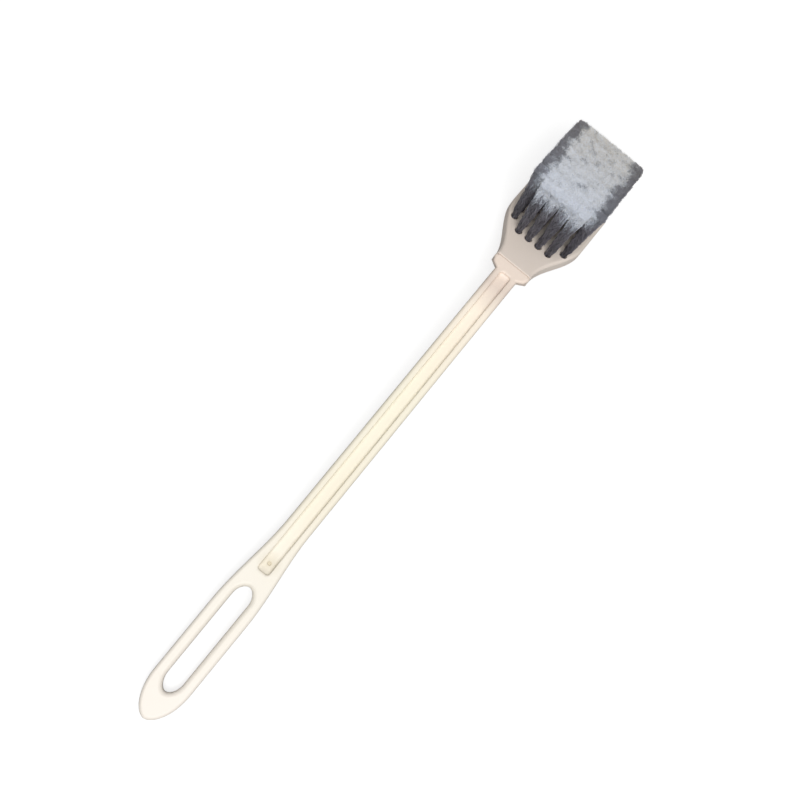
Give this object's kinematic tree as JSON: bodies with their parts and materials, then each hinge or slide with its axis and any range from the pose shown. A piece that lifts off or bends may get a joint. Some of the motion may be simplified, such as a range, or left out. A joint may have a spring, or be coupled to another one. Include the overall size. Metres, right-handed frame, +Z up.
{
  "type": "toilet brush",
  "caption": "Hand brush for a toilet bowl: a long plastic handle with a slotted hanging loop and a spade-shaped head, leant back, that carries rows of bristle tufts.",
  "frame": {"origin": "middle of the brush's footprint, on the surface that it lies on", "axes": "+Y along the handle towards the head, +Z up, bristles up"},
  "size_m": [0.0492, 0.404, 0.0711],
  "materials": {
    "handle_plastic": "satin moulded polypropylene, cream",
    "head_plastic": "satin moulded polypropylene, cream",
    "bristle": "dark filaments with pale flagged tips"
  },
  "bodies": {
    "root": {"handle": "handle_plastic", "head": "head_plastic", "tuft_r1_c2": "bristle", "tuft_r1_c3": "bristle", "tuft_r1_c4": "bristle", "tuft_r1_c5": "bristle", "tuft_r2_c1": "bristle", "tuft_r2_c2": "bristle", "tuft_r2_c3": "bristle", "tuft_r2_c4": "bristle", "tuft_r2_c5": "bristle", "tuft_r2_c6": "bristle", "tuft_r3_c1": "bristle", "tuft_r3_c2": "bristle", "tuft_r3_c3": "bristle", "tuft_r3_c4": "bristle", "tuft_r3_c5": "bristle", "tuft_r3_c6": "bristle", "tuft_r4_c1": "bristle", "tuft_r4_c2": "bristle", "tuft_r4_c3": "bristle", "tuft_r4_c4": "bristle", "tuft_r4_c5": "bristle", "tuft_r4_c6": "bristle", "tuft_r5_c1": "bristle", "tuft_r5_c2": "bristle", "tuft_r5_c3": "bristle", "tuft_r5_c4": "bristle", "tuft_r5_c5": "bristle", "tuft_r5_c6": "bristle", "tuft_r6_c1": "bristle", "tuft_r6_c2": "bristle", "tuft_r6_c3": "bristle", "tuft_r6_c4": "bristle", "tuft_r6_c5": "bristle", "tuft_r6_c6": "bristle", "tuft_r7_c1": "bristle", "tuft_r7_c2": "bristle", "tuft_r7_c3": "bristle", "tuft_r7_c4": "bristle", "tuft_r7_c5": "bristle", "tuft_r7_c6": "bristle", "tuft_r8_c1": "bristle", "tuft_r8_c2": "bristle", "tuft_r8_c3": "bristle", "tuft_r8_c4": "bristle", "tuft_r8_c5": "bristle", "tuft_r8_c6": "bristle"}
  },
  "joints": []
}
